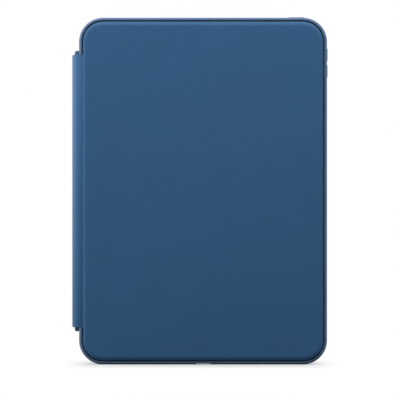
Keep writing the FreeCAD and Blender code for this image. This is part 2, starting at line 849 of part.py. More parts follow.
def make_rail_magnets():
    members = []
    for number, share in enumerate(RAIL_MAGNET_PLACES):
        members.append(loose_block(f"rail_magnet_{number}", *rail_magnet_ranges(share)))
    group("rail_magnets", members)


def pin_measures(step, start, proud):
    return (
        "Sizes.contact_radius", f"Sizes.rail_magnet_thickness + {proud}", start,
        "Places.rail_middle_level", f"Places.middle + ({step}) * Sizes.contact_pitch",
    )


def make_contact_pins():
    start = "Places.rail_left - Sizes.contact_proud / 2"
    members = []
    for number, step in enumerate(CONTACT_STEPS):
        measures = pin_measures(step, start, "Sizes.contact_proud / 2")
        members.append(loose_post(f"contact_pin_{number}", "right", *measures))
    group("contact_pins", members)


# Spine skin, stiffener and the strip that holds the skin to the back
def spine_range():
    return ("Places.spine_low", "Places.spine_high")


def fold_bead(maker, body, name, radius, level):
    maker(
        body, name, "up", radius, "Sizes.spine_length", "Places.fold_across", level, "Places.spine_low"
    )


def make_rear_hinge_strip():
    body = new_body("rear_hinge_strip")
    add_block(
        body, "strip_bar", ("Places.fold_across", "-(Places.panel_half_width + Sizes.panel_play)"),
        ("Places.rear_strip_level", "Places.rear_strip_level + Sizes.spine_thickness"), spine_range(),
    )
    fold_bead(cut_post, body, "strip_fold_room", "Places.fold_room", "Places.rear_fold_level")


def make_spine_skin():
    body = new_body("spine_skin")
    fold_bead(add_post, body, "rear_fold", "Sizes.fold_radius", "Places.rear_fold_level")
    add_block(
        body, "spine_wall", ("Places.spine_left", "Places.spine_left + Sizes.spine_skin"),
        ("Places.rear_fold_level", "Places.front_fold_level"), spine_range(),
    )
    fold_bead(cut_post, body, "front_fold_room", "Places.fold_room", "Places.front_fold_level")


def make_spine_stiffener():
    body = new_body("spine_stiffener")
    add_block(
        body, "spine_plate", ("Places.spine_left + Sizes.spine_skin", "Places.spine_inner"),
        ("Places.rear_fold_level + Sizes.fold_radius", "Places.rail_front_level - Sizes.soft_gap"),
        ("Places.spine_low + Sizes.spine_thickness", "Places.spine_high - Sizes.spine_thickness"),
    )


def make_contact_pads():
    members = []
    for number, step in enumerate(CONTACT_STEPS):
        middle = f"Places.middle + ({step}) * Sizes.contact_pitch"
        members.append(loose_block(
            f"contact_pad_{number}", ("Places.spine_inner", "Places.spine_inner + Sizes.contact_proud"),
            (
                "Places.rail_middle_level - Sizes.contact_radius",
                "Places.rail_middle_level + Sizes.contact_radius",
            ),
            (f"{middle} - Sizes.contact_radius", f"{middle} + Sizes.contact_radius"),
        ))
    group("contact_pads", members)


# Push buttons: a cap that shows outside and a flange behind the wall
def make_power_button():
    body = new_body("power_button")
    bay_top = "Places.middle + Places.bay_half_height"
    seat = f"{bay_top} + Places.button_seat"
    outer = "Places.case_top + Sizes.button_proud"
    add_plate(body, "power_cap", "top", seat, outer, power_sides("0"), "Sizes.button_corner")
    top = value(outer)
    round_edges(body, "power_cap_round", "Sizes.button_round", lambda point: near(point.z, top))
    add_plate(
        body, "power_flange", "top", seat, f"{seat} + Sizes.button_flange_thickness",
        power_sides(FLANGE_EXTRA), f"Sizes.button_corner + {FLANGE_EXTRA}",
    )


def make_volume_button(name, height):
    body = new_body(name)
    seat = "Places.bay_half_width + Places.button_seat"
    outer = "Places.case_half_width + Sizes.button_proud"
    add_plate(body, name + "_cap", "side", seat, outer, volume_sides(height, "0"), "Sizes.button_corner")
    right = value(outer)
    round_edges(body, name + "_cap_round", "Sizes.button_round", lambda point: near(point.x, right))
    add_plate(
        body, name + "_flange", "side", seat, f"{seat} + Sizes.button_flange_thickness",
        volume_sides(height, FLANGE_EXTRA), f"Sizes.button_corner + {FLANGE_EXTRA}",
    )


# Side flap for the stylus
FLAP_MAGNET_PLACES = (0.2, 0.5, 0.8)


def flap_magnet_ranges(share):
    half = "Sizes.flap_magnet_depth / 2"
    middle = f"Places.flap_low + {share} * Sizes.flap_length"
    return (
        ("Places.flap_inner", "Places.flap_inner + Sizes.flap_magnet_thickness"),
        (f"Places.flap_magnet_level - {half}", f"Places.flap_magnet_level + {half}"),
        (f"{middle} - Sizes.flap_magnet_length / 2", f"{middle} + Sizes.flap_magnet_length / 2"),
    )


def make_pencil_flap():
    body = new_body("pencil_flap")
    add_block(
        body, "flap_plate", ("Places.flap_inner", "Places.case_half_width"),
        ("Places.flap_level", "Places.rim_level"), ("Places.flap_square_low", "Places.flap_high"),
    )
    slanted = [
        ("Places.flap_inner", "Places.flap_square_low"), ("Places.case_half_width", "Places.flap_low"),
        ("Places.case_half_width", "Places.flap_square_low"),
    ]
    add_wedge(body, "flap_slant", "Places.flap_slant_level", "Places.rim_level", slanted)
    add_post(
        body, "flap_bead", "up", "Places.flap_half", "Places.flap_heel_height - Places.flap_square_low",
        "Places.flap_across", "Places.flap_level", "Places.flap_square_low",
    )
    cut_block(
        body, "flap_heel_cut", ("Places.flap_inner", "Places.case_half_width"),
        ("Places.flap_level", "Places.flap_level + Places.flap_reach"),
        ("Places.flap_heel_height", "Places.flap_high"),
    )
    front = value("Places.rim_level")
    edges = [("outer", "Places.case_half_width", "Sizes.rim_round")]
    edges.append(("inner", "Places.flap_inner", "Places.rim_inner_edge"))
    for name, side, radius in edges:
        across = value(side)
        round_edges(
            body, f"flap_{name}_round", radius,
            lambda point: near(point.x, across) and near(-point.y, front),
        )
    high = value("Places.flap_high")
    round_edges(
        body, "flap_end_round", "Sizes.flap_end_round",
        lambda point: near(point.z, high) and near(-point.y, front),
    )
    for number, share in enumerate(FLAP_MAGNET_PLACES):
        cut_block(body, f"flap_magnet_pocket_{number}", *flap_magnet_ranges(share))


def make_flap_magnets():
    members = []
    for number, share in enumerate(FLAP_MAGNET_PLACES):
        members.append(loose_block(f"flap_magnet_{number}", *flap_magnet_ranges(share)))
    group("flap_magnets", members)


# Kickstand hinges: brackets, screws and pins on the shell
def hinge_middle(sign):
    return f"Places.middle {sign} Sizes.hinge_spread"


def hinge_range(sign, half):
    return (f"{hinge_middle(sign)} - ({half})", f"{hinge_middle(sign)} + {half}")


def bracket_right():
    return "Places.stand_across + Sizes.stand_swing_room + Sizes.bracket_reach"


def screw_height(sign, step):
    return f"{hinge_middle(sign)} {step} Sizes.screw_spread"


def lug_start(sign, step):
    if step == "+":
        return f"{hinge_middle(sign)} + Sizes.knuckle_length / 2 + Sizes.knuckle_gap"
    return f"{hinge_middle(sign)} - Places.hinge_half_length"


def make_stand_brackets():
    body = new_body("stand_brackets")
    leaf_left = "Places.stand_across + Sizes.stand_swing_room"
    for name, sign in HINGE_SIDES.items():
        add_block(
            body, f"{name}_leaf", (leaf_left, f"{bracket_right()} - Sizes.panel_play"),
            ("Places.back_level", "Places.recess_level"), hinge_range(sign, "Places.hinge_half_length"),
        )
        for step, place in (("+", "high"), ("-", "low")):
            start = lug_start(sign, step)
            add_block(
                body, f"{name}_{place}_neck", ("Places.stand_across", leaf_left),
                ("Places.stand_axis_level", "Places.recess_level"),
                (start, f"{start} + Sizes.lug_length"),
            )
            add_post(
                body, f"{name}_{place}_lug", "up", "Places.stand_radius", "Sizes.lug_length",
                "Places.stand_across", "Places.stand_axis_level", start,
            )
            cut_post(
                body, f"{name}_{place}_screw_hole", "front", "Sizes.screw_radius", "Sizes.stand_recess",
                "Places.screw_across", "Places.back_level", screw_height(sign, step),
            )
            cut_post(
                body, f"{name}_{place}_screw_sink", "front", "Sizes.screw_head_radius",
                "Sizes.screw_head_depth", "Places.screw_across", "Places.back_level",
                screw_height(sign, step),
            )
        cut_post(
            body, f"{name}_pin_hole", "up", "Sizes.stand_pin_radius + Sizes.pin_seat_gap",
            "2 * Places.hinge_half_length", "Places.stand_across", "Places.stand_axis_level",
            hinge_range(sign, "Places.hinge_half_length")[0],
        )


def make_bracket_screws():
    body = new_body("bracket_screws")
    for name, sign in HINGE_SIDES.items():
        for step, place in (("+", "high"), ("-", "low")):
            height = screw_height(sign, step)
            add_post(
                body, f"{name}_{place}_shank", "front", "Sizes.screw_radius",
                "Sizes.stand_recess + Sizes.screw_bite", "Places.screw_across", "Places.back_level", height,
            )
            add_post(
                body, f"{name}_{place}_head", "front", "Sizes.screw_head_radius",
                "Sizes.screw_head_depth", "Places.screw_across", "Places.back_level", height,
            )


def make_stand_pins():
    members = []
    for name, sign in HINGE_SIDES.items():
        members.append(loose_post(
            f"{name}_stand_pin", "up", "Sizes.stand_pin_radius", "2 * Places.hinge_half_length",
            "Places.stand_across", "Places.stand_axis_level",
            hinge_range(sign, "Places.hinge_half_length")[0],
        ))
    group("stand_pins", members)


def make_kickstand_plate():
    body = new_body("kickstand_plate")
    front = "Places.back_level + Sizes.stand_thickness"
    sides = (
        "Places.stand_left", "Places.stand_right",
        "Places.middle - Places.stand_half_height", "Places.middle + Places.stand_half_height",
    )
    add_plate(body, "stand_plate", "front", "Places.back_level", front, sides, "Sizes.stand_corner")
    cut_post(
        body, "finger_notch", "front", "Sizes.notch_radius", "Sizes.stand_thickness",
        "Places.stand_left + Sizes.finger_depth - Sizes.notch_radius", "Places.back_level", "Places.middle",
    )
    round_edges(body, "stand_edge_round", "Sizes.stand_round", at_depth("Places.back_level"))
    for name, sign in HINGE_SIDES.items():
        tongue = hinge_range(sign, "Sizes.knuckle_length / 2")
        add_block(
            body, f"{name}_tongue", ("Places.stand_right - Sizes.stand_edge_gap", "Places.stand_across"),
            ("Places.back_level", front), tongue,
        )
        add_post(
            body, f"{name}_knuckle", "up", "Places.stand_radius", "Sizes.knuckle_length",
            "Places.stand_across", "Places.stand_axis_level", tongue[0],
        )
        cut_post(
            body, f"{name}_knuckle_hole", "up", "Sizes.stand_pin_radius + Sizes.pin_running_gap",
            "Sizes.knuckle_length", "Places.stand_across", "Places.stand_axis_level", tongue[0],
        )


# Lid cover: a shallow tray with the front strip that folds over the spine
def make_lid_cover():
    body = new_body("lid_cover")
    outside = centred("Places.lid_half_width", "Places.lid_half_height")
    add_plate(
        body, "cover_block", "front", "Places.tray_level", "Places.face_level",
        outside, "Places.lid_corner",
    )
    round_edges(body, "cover_face_round", "Sizes.lid_round", at_depth("Places.face_level"))
    inside = centred("Places.lid_half_width - Sizes.lid_wall", "Places.lid_half_height - Sizes.lid_wall")
    cut_plate(
        body, "cover_hollow", "front", "Places.tray_level", "Places.face_inner_level", inside,
        "Places.lid_corner - Sizes.lid_wall",
    )
    add_block(
        body, "front_strip", ("Places.fold_across", "Sizes.lid_wall - Places.lid_half_width"),
        ("Places.strip_level", "Places.strip_level + Sizes.spine_thickness"), spine_range(),
    )
    fold_bead(add_post, body, "front_fold", "Sizes.fold_radius", "Places.front_fold_level")


def inner_sides():
    margin = "(Sizes.lid_wall + Sizes.inner_play)"
    return centred(f"Places.lid_half_width - {margin}", f"Places.lid_half_height - {margin}")


def make_stiffener_plate():
    body = new_body("stiffener_plate")
    add_plate(
        body, "stiffener_sheet", "front", "Places.stiffener_level", "Places.face_inner_level",
        inner_sides(), "Places.lid_corner - Sizes.lid_wall - Sizes.inner_play",
    )


def key_area():
    margin = "Sizes.key_gap"
    return (
        f"Places.keys_rear - {margin}", f"Places.keys_front + {margin}",
        f"Places.keys_top - Places.row_length - {margin}", f"Places.keys_top + {margin}",
    )


def make_switch_membrane():
    body = new_body("switch_membrane")
    add_plate(
        body, "membrane_sheet", "front", "Places.membrane_level", "Places.stiffener_level",
        key_area(), "Sizes.key_corner",
    )
    add_block(
        body, "membrane_tail", ("Places.keys_front", "Places.board_front"),
        ("Places.membrane_level", "Places.stiffener_level"), ("Places.board_low", "Places.board_high"),
    )


def make_controller_board():
    body = new_body("controller_board")
    add_block(
        body, "board_plate", ("Places.board_rear", "Places.board_front"),
        ("Places.board_level", "Places.membrane_level"), ("Places.board_low", "Places.board_high"),
    )
    middle = "(Places.board_rear + Places.board_front) / 2"
    for number, share in enumerate((0.3, 0.7)):
        height = f"Places.board_low + {share} * Sizes.board_length"
        add_block(
            body, f"chip_{number}", (f"{middle} - Sizes.chip_side / 2", f"{middle} + Sizes.chip_side / 2"),
            ("Places.board_level - Sizes.chip_height", "Places.board_level"),
            (f"{height} - Sizes.chip_side / 2", f"{height} + Sizes.chip_side / 2"),
        )


def make_lid_magnets():
    across = "Places.lid_half_width - Sizes.lid_magnet_edge"
    half = "Sizes.lid_magnet_width / 2"
    members = []
    for number, share in enumerate((-0.8, -0.4, 0.4, 0.8)):
        height = f"Places.middle + ({share}) * Places.lid_half_height"
        members.append(loose_block(
            f"lid_magnet_{number}", (f"{across} - {half}", f"{across} + {half}"),
            ("Places.tray_level + Sizes.rest_gap", "Places.stiffener_level"),
            (f"{height} - Sizes.lid_magnet_length / 2", f"{height} + Sizes.lid_magnet_length / 2"),
        ))
    group("lid_magnets", members)


# Keys: one master for each size of key, copied along its row
def make_key_master(name, length, width):
    body = helper_body(name)
    half = (f"({width}) / 2", f"({length}) / 2")
    add_plate(
        body, name + "_cap", "front", "Places.key_level", "Places.plunger_level",
        around("0", "0", *half), "Sizes.key_corner",
    )
    round_edges(body, name + "_round", "Sizes.key_round", at_depth("Places.key_level"))
    add_plate(
        body, name + "_flange", "front", "Places.key_flange_level", "Places.plunger_level",
        around("0", "0", *(f"{part} + Sizes.key_flange" for part in half)),
        "Sizes.key_corner + Sizes.key_flange",
    )
    add_post(
        body, name + "_plunger", "front", "Sizes.plunger_radius",
        "Sizes.plunger_length", "0", "Places.plunger_level", "0",
    )
    return body


masters = {}
windows = []
domes = []


def cap_length(units):
    return f"Sizes.key_pitch * {units} - Sizes.key_gap"


def place_key(name, units, offset, across, width, kind):
    height = f"Places.keys_top - Sizes.key_pitch * {offset + units / 2}"
    master_name = f"{kind}_{round(units * 100)}"
    if master_name not in masters:
        masters[master_name] = make_key_master(master_name, cap_length(units), width)
    copy = document.addObject("App::Link", name)
    copy.LinkedObject = masters[master_name]
    bind(copy, "Placement.Base.x", across)
    bind(copy, "Placement.Base.z", height)
    play = "Sizes.key_play"
    windows.append(loose_block(
        name + "_window",
        (f"{across} - ({width}) / 2 - {play}", f"{across} + ({width}) / 2 + {play}"),
        ("Places.deck_level", "Places.tray_level"),
        (f"{height} - ({cap_length(units)}) / 2 - {play}", f"{height} + ({cap_length(units)}) / 2 + {play}"),
    ))
    dome = document.addObject("Part::Cone", name + "_dome")
    dome.Placement = FreeCAD.Placement(Vector(), TURNS["front"])
    bind(dome, "Radius1", "Sizes.dome_top")
    bind(dome, "Radius2", "Sizes.dome_foot")
    bind(dome, "Height", "Sizes.dome_height + Sizes.film_thickness / 2")
    bind(dome, "Placement.Base.x", across)
    bind(dome, "Placement.Base.y", "-Places.dome_level")
    bind(dome, "Placement.Base.z", height)
    domes.append(dome)
    return copy


def make_key_row(name, widths, across, width, kind):
    members = []
    offset = 0
    for number, units in enumerate(widths):
        members.append(place_key(f"{name}_{number}", units, offset, across, width, kind))
        offset += units
    return members


def row_across(row):
    return f"Places.rows_rear + Sizes.key_pitch * {row + 0.5}"


def make_keys():
    row_units = value("Places.row_units")
    function_keys = make_key_row(
        "function_keys", [row_units / FUNCTION_COUNT] * FUNCTION_COUNT,
        "Places.keys_rear + Sizes.function_pitch / 2", "Sizes.function_pitch - Sizes.key_gap", "function_key",
    )
    group("function_keys", function_keys)
    width = "Sizes.key_pitch - Sizes.key_gap"
    for row, (name, (left, right)) in enumerate(ROW_ENDS.items()):
        plain = round(row_units - sum(left) - sum(right))
        widths = left + [1] * plain + right
        group(name, make_key_row(name, widths, row_across(row), width, "key"))
    left, right = SPACE_SIDES
    widths = left + [row_units - sum(left) - sum(right)] + right
    keys = make_key_row("bottom_keys", widths, row_across(ROW_COUNT - 1), width, "key")
    space_bar = keys.pop(len(left))
    group("space_bar", [space_bar])
    group("bottom_keys", keys)


def make_dome_sheet():
    film = helper_body("dome_film")
    add_plate(
        film, "film_sheet", "front", "Places.film_level", "Places.membrane_level",
        key_area(), "Sizes.key_corner",
    )
    sheet = document.addObject("Part::MultiFuse", "dome_sheet")
    sheet.Shapes = [film] + domes
    keep(sheet, "dome_sheet")


# Trackpad with its click switch
def trackpad_sides(extra):
    half_width = f"Places.trackpad_half_width + {extra}"
    half_length = f"Sizes.trackpad_length / 2 + {extra}"
    return around("Places.trackpad_across", "Places.middle", half_width, half_length)


def make_trackpad():
    body = new_body("trackpad")
    add_plate(
        body, "trackpad_plate", "front", "Places.deck_level", "Places.trackpad_under_level",
        trackpad_sides("0"), "Sizes.trackpad_corner",
    )
    round_edges(body, "trackpad_round", "Sizes.key_round", at_depth("Places.deck_level"))
    add_plate(
        body, "trackpad_flange", "front", "Places.trackpad_flange_level", "Places.trackpad_under_level",
        trackpad_sides("Sizes.key_flange"), "Sizes.trackpad_corner + Sizes.key_flange",
    )


def make_trackpad_switch():
    body = new_body("trackpad_switch")
    half = "Sizes.switch_side / 2"
    add_block(
        body, "switch_body", (f"Places.trackpad_across - {half}", f"Places.trackpad_across + {half}"),
        (
            "Places.trackpad_under_level + Sizes.trackpad_travel + Sizes.rest_gap",
            "Places.stiffener_level",
        ),
        around_middle(half),
    )


# Keyboard deck: a plate with a window for every key, and a soft border that keeps the keys off the screen
def make_keyboard_deck():
    blank = helper_body("deck_blank")
    outside = centred("Places.lid_half_width", "Places.lid_half_height")
    add_plate(
        blank, "deck_plate", "front", "Places.deck_level", "Places.tray_level",
        outside, "Places.lid_corner",
    )
    cut_plate(
        blank, "trackpad_window", "front", "Places.deck_level", "Places.tray_level",
        trackpad_sides("Sizes.key_play"), "Sizes.trackpad_corner + Sizes.key_play",
    )
    cutters = document.addObject("Part::Compound", "key_windows")
    cutters.Links = windows
    deck = document.addObject("Part::Cut", "keyboard_deck")
    deck.Base = blank
    deck.Tool = cutters
    keep(deck, "keyboard_deck")


def make_deck_border():
    body = new_body("deck_border")
    outside = centred("Places.lid_half_width", "Places.lid_half_height")
    add_plate(
        body, "border_block", "front", "Places.lid_level", "Places.deck_level", outside, "Places.lid_corner"
    )
    round_edges(body, "border_edge_round", "Sizes.border_round", at_depth("Places.lid_level"))
    inside = centred(
        "Places.lid_half_width - Sizes.border_width", "Places.lid_half_height - Sizes.border_width"
    )
    cut_plate(
        body, "border_hollow", "front", "Places.lid_level", "Places.deck_level", inside, "Sizes.border_corner"
    )


def make_case():
    make_bumper_frame()
    make_back_panel()
    make_bay_lining()
    make_camera_ring()
    make_tablet_connector()
    make_hinge_rail()
    make_rail_magnets()
    make_contact_pins()
    make_rear_hinge_strip()
    make_stand_brackets()
    make_bracket_screws()
    make_stand_pins()
    make_kickstand_plate()
    make_pencil_flap()
    make_flap_magnets()
    make_power_button()
    make_volume_button("volume_up_button", "Places.volume_up_height")
    make_volume_button("volume_down_button", "Places.volume_down_height")
    make_spine_skin()
    make_spine_stiffener()
    make_contact_pads()
    make_lid_cover()
    make_stiffener_plate()
    make_switch_membrane()
    make_controller_board()
    make_lid_magnets()
    make_keys()
    make_dome_sheet()
    make_trackpad()
    make_trackpad_switch()
    make_keyboard_deck()
    make_deck_border()


def check_case():
    document.recompute()
    for item in document.Objects:
        if "Invalid" in item.State or "Error" in item.State:
            raise RuntimeError(f"{item.Name} did not build: {item.State}")
    for piece in pieces:
        shape = piece.Shape
        if shape.isNull() or not shape.isValid() or shape.Volume <= 0:
            raise RuntimeError(f"{piece.Label} has no valid solid")


def write_case():
    os.makedirs("parts", exist_ok=True)
    for piece in pieces:
        piece.Shape.exportStep(f"parts/{piece.Label}.step")


make_case()
check_case()
write_case()
volume = sum(piece.Shape.Volume for piece in pieces)
print(f"{len(pieces)} pieces, {volume / 1000:.1f} cubic centimetres of material")
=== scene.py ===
import json
import math

import bmesh
import bpy
from mathutils import Matrix, Vector


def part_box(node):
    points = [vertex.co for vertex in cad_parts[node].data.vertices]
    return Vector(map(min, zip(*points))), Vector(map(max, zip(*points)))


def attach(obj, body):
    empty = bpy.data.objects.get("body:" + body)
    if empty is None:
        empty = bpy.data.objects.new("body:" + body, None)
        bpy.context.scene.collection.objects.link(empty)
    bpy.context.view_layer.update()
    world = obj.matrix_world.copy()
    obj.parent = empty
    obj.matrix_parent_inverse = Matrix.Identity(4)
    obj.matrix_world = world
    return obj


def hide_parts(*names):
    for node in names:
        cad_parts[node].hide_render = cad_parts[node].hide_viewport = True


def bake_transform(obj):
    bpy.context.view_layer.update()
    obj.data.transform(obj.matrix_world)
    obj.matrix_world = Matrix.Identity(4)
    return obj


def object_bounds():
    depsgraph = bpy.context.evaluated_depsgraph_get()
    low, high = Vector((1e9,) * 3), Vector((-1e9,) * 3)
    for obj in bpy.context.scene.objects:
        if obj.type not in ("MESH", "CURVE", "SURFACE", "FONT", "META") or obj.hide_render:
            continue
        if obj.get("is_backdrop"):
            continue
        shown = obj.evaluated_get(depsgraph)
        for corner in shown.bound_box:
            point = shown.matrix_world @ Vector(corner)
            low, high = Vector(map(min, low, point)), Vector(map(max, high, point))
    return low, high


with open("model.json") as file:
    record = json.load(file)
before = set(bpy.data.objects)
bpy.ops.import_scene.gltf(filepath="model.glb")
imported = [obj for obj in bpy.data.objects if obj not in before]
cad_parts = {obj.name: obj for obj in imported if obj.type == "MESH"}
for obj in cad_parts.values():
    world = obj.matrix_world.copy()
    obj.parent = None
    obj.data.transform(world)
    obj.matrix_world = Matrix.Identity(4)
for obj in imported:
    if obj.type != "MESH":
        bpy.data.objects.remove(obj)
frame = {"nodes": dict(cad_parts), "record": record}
cad_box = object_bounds()

# The frame is in metres. "Depth" runs from the middle of the case to the front,
# so a depth of d lies at y = -d.
MM = 0.001

# Lid panel: corner radius, the bevel round its face, the round outside the bevel and half of the soft
# crease inside it, the bevel's share on the left, where the spine's skin meets it, the cut of the
# rear edge, and the walls of the tray
LID_CORNER = 14.75 * MM
LID_BEVEL_WIDTH = 2.4 * MM
LID_BEVEL_DROP = 0.7 * MM
LID_EDGE = 0.35 * MM
LID_EDGE_STEPS = 6
LID_CREASE = 0.12 * MM
LEFT_BEVEL = 0.68
LID_REAR_EDGE = 0.18 * MM
LID_WALL = 1.5 * MM
LID_FACE = 0.9 * MM

# Soft skin of the spine: thickness at the wall and at the front end, how far it stands outside the
# solid on the left, its rolled ends and its cut corners
SKIN = 1.13 * MM
STRIP = 0.37 * MM
SKIN_PROUD = 0.35 * MM
SKIN_ROLL = 0.18 * MM
SKIN_ROLL_STEPS = 3
SKIN_CORNER = 1.2 * MM

# Front end of the skin: how far it lies below the lid's face and reaches into the lid's edge
STRIP_INSET = 1.0 * MM
STRIP_TUCK = 0.3 * MM

# Folds of the skin: their depth, the width of the rear one, and the steps along each
FOLD_RISE = 4.5 * MM
REAR_FOLD = 4.5 * MM
FRONT_FOLD_STEPS = 36
REAR_FOLD_STEPS = 24

# Rear end of the skin, bonded to the back: its cut edge and the steps along it
BONDED_EDGE = 0.3 * MM
BONDED_STEPS = 4

# Lining of the tablet bay and its cut-outs
LINING_CORNER = 15.2 * MM
LINING_PLAY = 0.1 * MM
LINING_ROLL = 0.15 * MM
LINING_ROLL_STEPS = 2
CAMERA_CORNER = 10.0 * MM
CONNECTOR_CORNER = 0.3 * MM

# Printing on the keys: size of letters and words, the ink's rise, the margin of words and homing bars,
# the height above which a key has its word in a corner, an arrow's radius, and a homing bar's length,
# width and rise
LETTER = 5.2 * MM
WORD = 3.1 * MM
LETTER_STEPS = 3
INK = 0.03 * MM
WORD_MARGIN = 2.0 * MM
TALL_KEY = 4 * WORD
ARROW = 1.5 * MM
HOMING_BAR = (3.2 * MM, 0.45 * MM, 0.2 * MM)

# Photograph's view: the width that the picture takes in at the object, its middle, and the camera's
# distance, farthest view and sensor width, which is in millimetres
VIEW_WIDTH = 294.4 * MM
VIEW_ACROSS = -0.135 * MM
VIEW_HEIGHT = 120.85 * MM
VIEW_DISTANCE = 5.0
VIEW_FAR = 50.0
SENSOR_WIDTH = 36.0


# Mesh building

# Edges between faces that meet at more than this many degrees stay sharp
SHARP_ANGLE = 40
CORNER_STEPS = 14
WELD = 0.001 * MM


def add_object(name, mesh):
    """Links a mesh to the scene, with smooth faces and sharp edges."""
    mesh.shade_smooth()
    mesh.set_sharp_from_angle(angle=math.radians(SHARP_ANGLE))
    piece = bpy.data.objects.new(name, mesh)
    bpy.context.scene.collection.objects.link(piece)
    return piece


def finish_mesh(name, shape):
    """Turns a bmesh into a mesh with its faces looking out."""
    bmesh.ops.recalc_face_normals(shape, faces=shape.faces)
    mesh = bpy.data.meshes.new(name)
    shape.to_mesh(mesh)
    shape.free()
    return mesh


def arc(centre, sides, start, end, steps):
    """Points on an ellipse about centre, from one angle to another in degrees."""
    angles = [math.radians(start + (end - start) * step / steps) for step in range(steps + 1)]
    return [
        (centre[0] + sides[0] * math.cos(angle), centre[1] + sides[1] * math.sin(angle))
        for angle in angles
    ]


def rounded_loop(low, high, corner, inset):
    """Points (x, z) round a rectangle with round corners, moved in by inset."""
    radius = corner - inset
    points = []
    middles = [
        (high.x - corner, high.z - corner, 0),
        (low.x + corner, high.z - corner, 90),
        (low.x + corner, low.z + corner, 180),
        (high.x - corner, low.z + corner, 270),
    ]
    for across, height, start in middles:
        points += arc((across, height), (radius, radius), start, start + 90, CORNER_STEPS)
    return points


def wall_through(shape, loops):
    """Wall through loops of points in a bmesh, returned as rings of its corners."""
    rings = [[shape.verts.new(point) for point in loop] for loop in loops]
    for first, second in zip(rings, rings[1:]):
        for step in range(len(first)):
            after = (step + 1) % len(first)
            shape.faces.new((first[step], first[after], second[after], second[step]))
    return rings


def loft(name, loops):
    """Closed solid through loops of points, with the first and the last loop filled."""
    shape = bmesh.new()
    rings = wall_through(shape, loops)
    shape.faces.new(rings[0])
    shape.faces.new(rings[-1])
    return finish_mesh(name, shape)


def offset(path, first, last):
    """The path moved to its right-hand side, by first at its start and by last at its end."""
    moved = []
    for place, point in enumerate(path):
        thickness = first + (last - first) * place / (len(path) - 1)
        before = path[max(place - 1, 0)]
        after = path[min(place + 1, len(path) - 1)]
        along = Vector((after[0] - before[0], after[1] - before[1])).normalized()
        moved.append((point[0] + along.y * thickness, point[1] - along.x * thickness))
    return moved


def thinned(outer, inner, inset):
    """Closed loop of (x, depth) round two paths, each moved towards the other by inset."""
    steps = [(Vector(second) - Vector(first)).normalized() * inset for first, second in zip(outer, inner)]
    near = [Vector(point) + step for point, step in zip(outer, steps)]
    far = [Vector(point) - step for point, step in zip(inner, steps)]
    return near + far[::-1]


def swept_skin(name, outer, inner, low, high):
    """Skin between an outer and an inner path of (x, depth), drawn out from low to high.
    Its ends are rolled, and rounded off towards the left edge, as a cut sheet's corners are."""
    left = min(point[0] for point in outer + inner)
    turns = [math.radians(90 * step / SKIN_ROLL_STEPS) for step in range(SKIN_ROLL_STEPS + 1)]
    ends = [(low, 1, turn) for turn in turns] + [(high, -1, turn) for turn in turns[::-1]]
    loops = []
    for end, inwards, turn in ends:
        loop = []
        for across, depth in thinned(outer, inner, SKIN_ROLL * (1 - math.sin(turn))):
            short = max(SKIN_CORNER - (across - left), 0)
            pulled = SKIN_CORNER - math.sqrt(SKIN_CORNER ** 2 - short ** 2)
            pulled += SKIN_ROLL * (1 - math.cos(turn))
            loop.append((across, -depth, end + inwards * pulled))
        loops.append(loop)
    shape = bmesh.new()
    rings = wall_through(shape, loops)
    for ring in (rings[0], rings[-1]):
        for step in range(len(outer) - 1):
            shape.faces.new((ring[step], ring[step + 1], ring[-2 - step], ring[-1 - step]))
    return add_object(name, finish_mesh(name, shape))


def mesh_of(name, curve):
    """Mesh of a filled curve or text, welded into closed shapes."""
    drawn = bpy.data.objects.new(name, curve)
    bpy.context.scene.collection.objects.link(drawn)
    seen = drawn.evaluated_get(bpy.context.evaluated_depsgraph_get())
    shape = bmesh.new()
    shape.from_mesh(bpy.data.meshes.new_from_object(seen))
    bpy.data.objects.remove(drawn)
    bmesh.ops.remove_doubles(shape, verts=shape.verts, dist=WELD)
    return finish_mesh(name, shape)


def cut_sheet(name, outlines, low, high):
    """Sheet cut along outlines of (x, z), from one y to another, with rolled edges."""
    curve = bpy.data.curves.new(name, "CURVE")
    curve.dimensions = "2D"
    curve.fill_mode = "BOTH"
    curve.extrude = (high - low) / 2 - LINING_ROLL
    curve.bevel_depth = LINING_ROLL
    curve.bevel_resolution = LINING_ROLL_STEPS
    curve.offset = -LINING_ROLL
    for outline in outlines:
        line = curve.splines.new("POLY")
        line.points.add(len(outline) - 1)
        line.use_cyclic_u = True
        for point, (across, height) in zip(line.points, outline):
            point.co = (across, height, 0, 1)
    mesh = mesh_of(name, curve)
    upright = Matrix.Rotation(math.radians(90), 4, "X")
    mesh.transform(Matrix.Translation((0, (low + high) / 2, 0)) @ upright)
    return add_object(name, mesh)


def prism(outline, rise):
    """Solid over a flat outline, as far below its plane as above it."""
    return loft("prism", [[(*point, level) for point in outline] for level in (-rise, rise)])


def area_of(outline):
    """Area inside a closed outline."""
    pairs = zip(outline, outline[1:] + outline[:1])
    return abs(sum(first[0] * second[1] - second[0] * first[1] for first, second in pairs)) / 2


def islands(mesh):
    """Lowest and highest corner of each separate solid in a mesh."""
    shape = bmesh.new()
    shape.from_mesh(mesh)
    bmesh.ops.remove_doubles(shape, verts=shape.verts, dist=WELD)
    left = set(shape.verts)
    boxes = []
    while left:
        group = [left.pop()]
        for vert in group:
            beside = {edge.other_vert(vert) for edge in vert.link_edges} & left
            left -= beside
            group.extend(beside)
        low = Vector([min(vert.co[axis] for vert in group) for axis in range(3)])
        high = Vector([max(vert.co[axis] for vert in group) for axis in range(3)])
        boxes.append((low, high))
    shape.free()
    return boxes


# Shader nodes

def calculated(tree, operation, *values):
    """Result of a calculation with sockets and plain numbers."""
    node = tree.nodes.new("ShaderNodeMath")
    node.operation = operation
    for socket, value in zip(node.inputs, values):
        if isinstance(value, (int, float)):
            socket.default_value = value
        else:
            tree.links.new(value, socket)
    return node.outputs["Value"]


